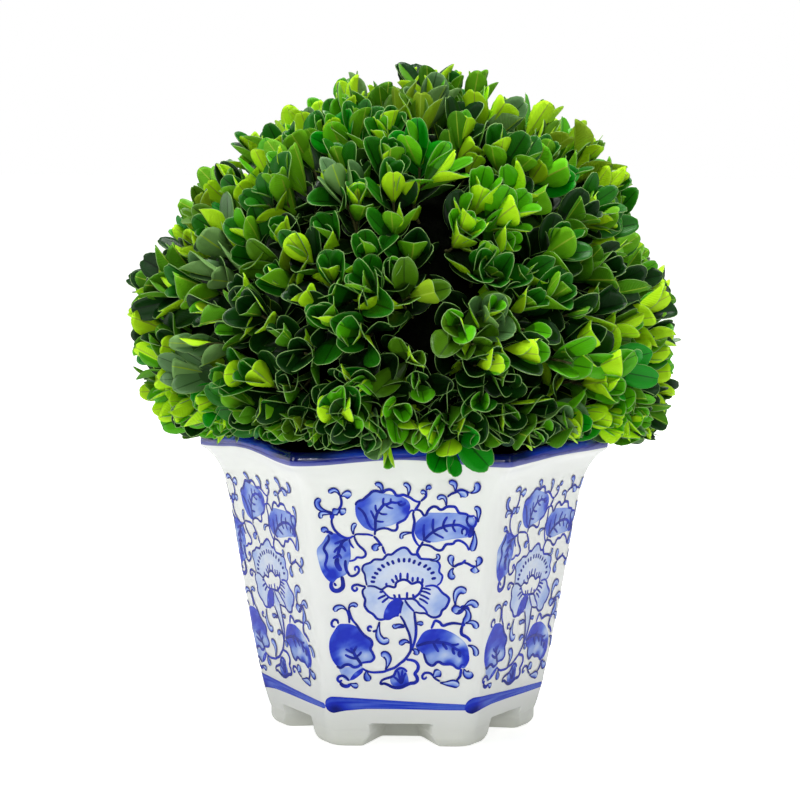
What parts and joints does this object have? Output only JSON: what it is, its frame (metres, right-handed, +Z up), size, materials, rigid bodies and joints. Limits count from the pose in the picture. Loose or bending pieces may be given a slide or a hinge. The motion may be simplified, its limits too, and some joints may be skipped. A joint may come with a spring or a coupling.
{
  "type": "potted clipped shrub",
  "caption": "Clipped dome of preserved boxwood sprigs standing in a flared six-sided glazed planter with short feet and a painted scroll pattern.",
  "frame": {"origin": "centre of the planter's flat underside, on the plane that it stands on", "axes": "+Z up through the middle of the crown; -Y out of the flat side of the planter that faces the viewer; a corner of the planter on +X"},
  "size_m": [0.2747, 0.2736, 0.3256],
  "materials": {
    "glazed_porcelain": "gloss",
    "planting_foam": "matte",
    "boxwood_bark": "matte",
    "preserved_leaf": "satin"
  },
  "bodies": {
    "root": {"hexagonal_planter": "glazed_porcelain", "planting_block": "planting_foam", "short_stem": "boxwood_bark", "clipped_crown": "preserved_leaf"}
  },
  "joints": []
}
